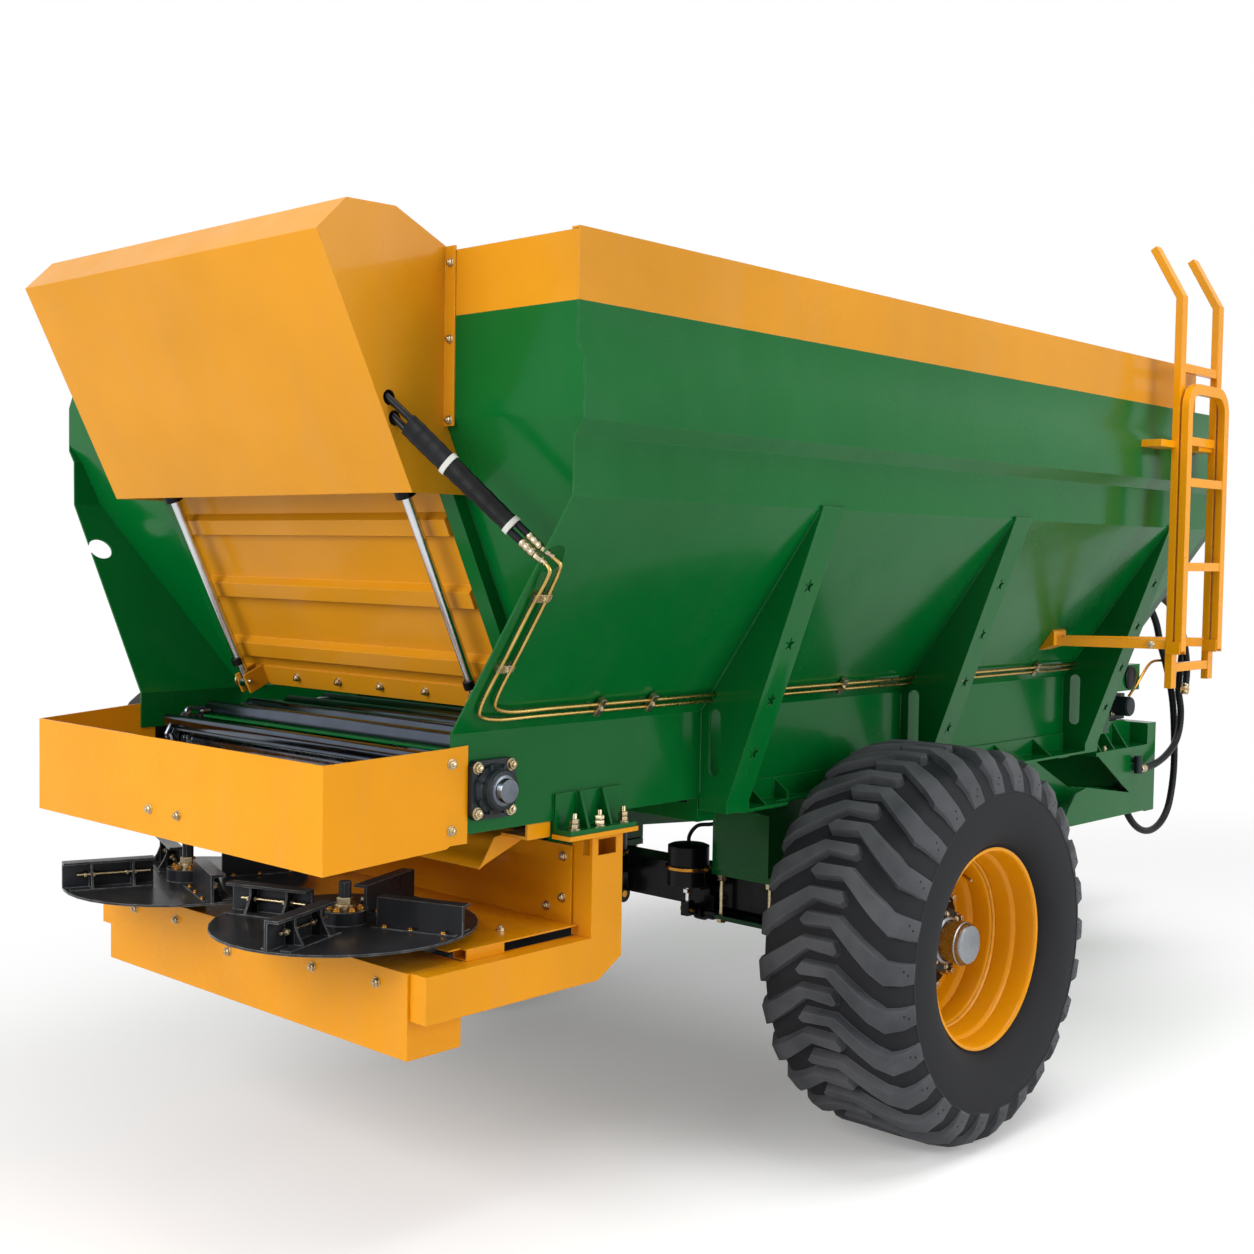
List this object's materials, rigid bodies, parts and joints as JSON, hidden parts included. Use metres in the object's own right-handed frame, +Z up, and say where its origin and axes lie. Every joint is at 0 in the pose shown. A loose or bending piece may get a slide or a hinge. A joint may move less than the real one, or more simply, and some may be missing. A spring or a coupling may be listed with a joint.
{
  "type": "towed manure spreader",
  "caption": "Towed hopper with sloping ribbed sides, floor chain, lifting rear gate under a hood, spinner discs on an underslung frame, single axle, drawbar and side ladder.",
  "frame": {"origin": "centre of the bounding box on the ground", "axes": "+X machine's right, +Y forward to the tractor, +Z up"},
  "size_m": [2.53, 5.455, 2.8281],
  "materials": {
    "green_paint": "gloss green paint",
    "dark_green_paint": "gloss dark green paint",
    "mustard_paint": "satin mustard yellow paint",
    "amber_paint": "gloss amber yellow paint",
    "black_paint": "satin black paint",
    "disc_paint": "worn black paint on steel",
    "worn_steel": "worn dark steel",
    "chrome_rod": "polished cylinder rod",
    "zinc_plate": "yellow zinc plating",
    "cast_blue": "dark blue-grey casting",
    "tyre_rubber": "matt black rubber",
    "hose_rubber": "matt black hose"
  },
  "bodies": {
    "root": {"hopper_side_right": "green_paint", "hopper_side_left": "green_paint", "hopper_floor": "green_paint", "rear_wall": "green_paint", "rib_frame_right": "green_paint", "rib_frame_left": "green_paint", "chassis": "green_paint", "drawbar": "green_paint", "hydraulic_tank": "green_paint", "front_wall": "dark_green_paint", "hood": "mustard_paint", "extension_right": "mustard_paint", "extension_left": "mustard_paint", "extension_rear": "mustard_paint", "extension_front": "mustard_paint", "deflector_box": "amber_paint", "spinner_cross_box": "amber_paint", "spinner_arm_right": "amber_paint", "spinner_arm_left": "amber_paint", "spinner_pan": "amber_paint", "drop_chute": "amber_paint", "ladder": "amber_paint", "gate_cylinder_right": "black_paint", "gate_cylinder_left": "black_paint", "conveyor_gearbox": "black_paint", "spinner_gearboxes": "black_paint", "axle": "black_paint", "jack_tube": "black_paint", "input_gearbox": "black_paint", "floor_chain": "worn_steel", "conveyor_rear_shaft": "worn_steel", "conveyor_front_shaft": "worn_steel", "hydraulic_pipe_lower": "zinc_plate", "hydraulic_pipe_upper": "zinc_plate", "rear_bearing": "cast_blue", "pump_block": "cast_blue", "hose_elbow": "cast_blue", "gate_hose_lower": "hose_rubber", "gate_hose_upper": "hose_rubber", "supply_hose_low": "hose_rubber", "supply_hose_elbow": "hose_rubber", "supply_hose_spare": "hose_rubber"},
    "wheel_right": {"tyre_right": "tyre_rubber", "wheel_right": "amber_paint"},
    "wheel_left": {"tyre_left": "tyre_rubber", "wheel_left": "amber_paint"},
    "spinner_right": {"spinner_disc_right": "disc_paint"},
    "spinner_left": {"spinner_disc_left": "disc_paint"},
    "gate": {"rear_gate": "mustard_paint", "gate_rod_right": "chrome_rod", "gate_rod_left": "chrome_rod"},
    "ladder_fold": {"ladder_folding_section": "amber_paint"},
    "jack_leg": {"jack_leg": "worn_steel"},
    "pto_shaft": {"pto_stub": "worn_steel"}
  },
  "joints": [
    {"name": "wheel_right_spin", "type": "hinge", "parent": "root", "child": "wheel_right", "pos_m": [1.015, -0.7025, 0.585], "axis": [1, 0, 0], "continuous": true},
    {"name": "wheel_left_spin", "type": "hinge", "parent": "root", "child": "wheel_left", "pos_m": [-1.015, -0.7025, 0.585], "axis": [1, 0, 0], "continuous": true},
    {"name": "spinner_right_spin", "type": "hinge", "parent": "root", "child": "spinner_right", "pos_m": [0.36, -2.3925, 0.785], "axis": [0, 0, 1], "continuous": true},
    {"name": "spinner_left_spin", "type": "hinge", "parent": "root", "child": "spinner_left", "pos_m": [-0.36, -2.3925, 0.785], "axis": [0, 0, 1], "continuous": true},
    {"name": "gate_lift", "type": "slide", "parent": "root", "child": "gate", "axis": [0, -0.425, 0.9052], "range_m": [0, 0.45]},
    {"name": "ladder_fold_hinge", "type": "hinge", "parent": "root", "child": "ladder_fold", "pos_m": [1.237, 0.6925, 1.43], "axis": [0, 1, 0], "range_deg": [0, 180]},
    {"name": "jack_slide", "type": "slide", "parent": "root", "child": "jack_leg", "axis": [0, 0, 1], "range_m": [0, 0.3]},
    {"name": "pto_spin", "type": "hinge", "parent": "root", "child": "pto_shaft", "pos_m": [0, 1.7775, 1.105], "axis": [0, 1, 0], "continuous": true}
  ]
}
